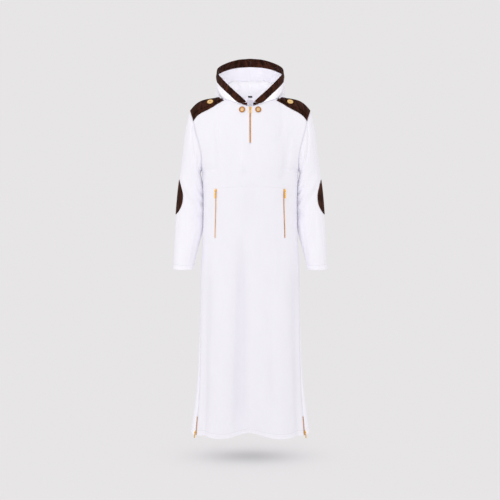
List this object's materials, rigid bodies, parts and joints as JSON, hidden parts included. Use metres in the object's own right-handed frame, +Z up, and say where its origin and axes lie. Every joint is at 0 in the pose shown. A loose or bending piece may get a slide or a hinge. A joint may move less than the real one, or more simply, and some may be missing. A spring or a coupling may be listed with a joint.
{
  "type": "hooded thobe robe",
  "caption": "Ankle-length white hooded robe, filled out as worn, with a zipped neck and pockets, side hem zips and brown patches and hood edge.",
  "frame": {"origin": "middle of the shoulder line between the two neck sides, where the wearer's shoulders carry the robe", "axes": "+Z up along the robe's length, -Y towards its front, +X towards the wearer's left sleeve"},
  "size_m": [0.6352, 0.33, 1.5778],
  "materials": {
    "white_cloth": "matte twill weave",
    "brown_cloth": null,
    "zip_metal": "polished gold tone",
    "zip_chain": "satin gold tone",
    "button": "pale gold, raised rim",
    "strip_cloth": "grey woven tape",
    "label_cloth": "plain dark woven, blank"
  },
  "bodies": {
    "garment": {"back_body": "white_cloth", "elbow_patch_left": "brown_cloth", "elbow_patch_right": "brown_cloth", "epaulette_button_left": "button", "epaulette_button_right": "button", "epaulette_left": "brown_cloth", "epaulette_right": "brown_cloth", "front_body": "white_cloth", "hanger_strip": "strip_cloth", "hem_left_slider": "zip_metal", "hem_left_zip": "zip_chain", "hem_right_slider": "zip_metal", "hem_right_zip": "zip_chain", "hood_band_left": "brown_cloth", "hood_band_right": "brown_cloth", "hood_left": "white_cloth", "hood_right": "white_cloth", "neck_button_left": "button", "neck_button_right": "button", "neck_label": "label_cloth", "neck_slider": "zip_metal", "neck_tape": "brown_cloth", "neck_zip": "zip_chain", "pocket": "white_cloth", "pocket_left_slider": "zip_metal", "pocket_left_zip": "zip_chain", "pocket_right_slider": "zip_metal", "pocket_right_zip": "zip_chain", "shoulder_patch_left": "brown_cloth", "shoulder_patch_right": "brown_cloth", "sleeve_left": "white_cloth", "sleeve_right": "white_cloth"},
    "hem_left_pull": {"hem_left_pull": "zip_metal"},
    "hem_right_pull": {"hem_right_pull": "zip_metal"},
    "neck_pull": {"neck_pull": "zip_metal"},
    "pocket_left_pull": {"pocket_left_pull": "zip_metal"},
    "pocket_right_pull": {"pocket_right_pull": "zip_metal"}
  },
  "joints": [
    {"name": "hem_left_tab_swing", "type": "hinge", "parent": "garment", "child": "hem_left_pull", "pos_m": [0.22773, -0.06211, -1.36385], "axis": [-0.6095, -0.7923, 0.0278], "range_deg": [0, 140]},
    {"name": "hem_right_tab_swing", "type": "hinge", "parent": "garment", "child": "hem_right_pull", "pos_m": [-0.22779, -0.06202, -1.36386], "axis": [-0.5973, 0.8015, -0.0296], "range_deg": [0, 140]},
    {"name": "neck_tab_swing", "type": "hinge", "parent": "garment", "child": "neck_pull", "pos_m": [0, -0.1062, -0.04059], "axis": [-1, 0, 0], "range_deg": [0, 140]},
    {"name": "pocket_left_tab_swing", "type": "hinge", "parent": "garment", "child": "pocket_left_pull", "pos_m": [0.14058, -0.09543, -0.37195], "axis": [-0.8281, -0.5595, -0.0351], "range_deg": [0, 140]},
    {"name": "pocket_right_tab_swing", "type": "hinge", "parent": "garment", "child": "pocket_right_pull", "pos_m": [-0.14058, -0.09543, -0.37195], "axis": [-0.8282, 0.5594, 0.035], "range_deg": [0, 140]}
  ]
}
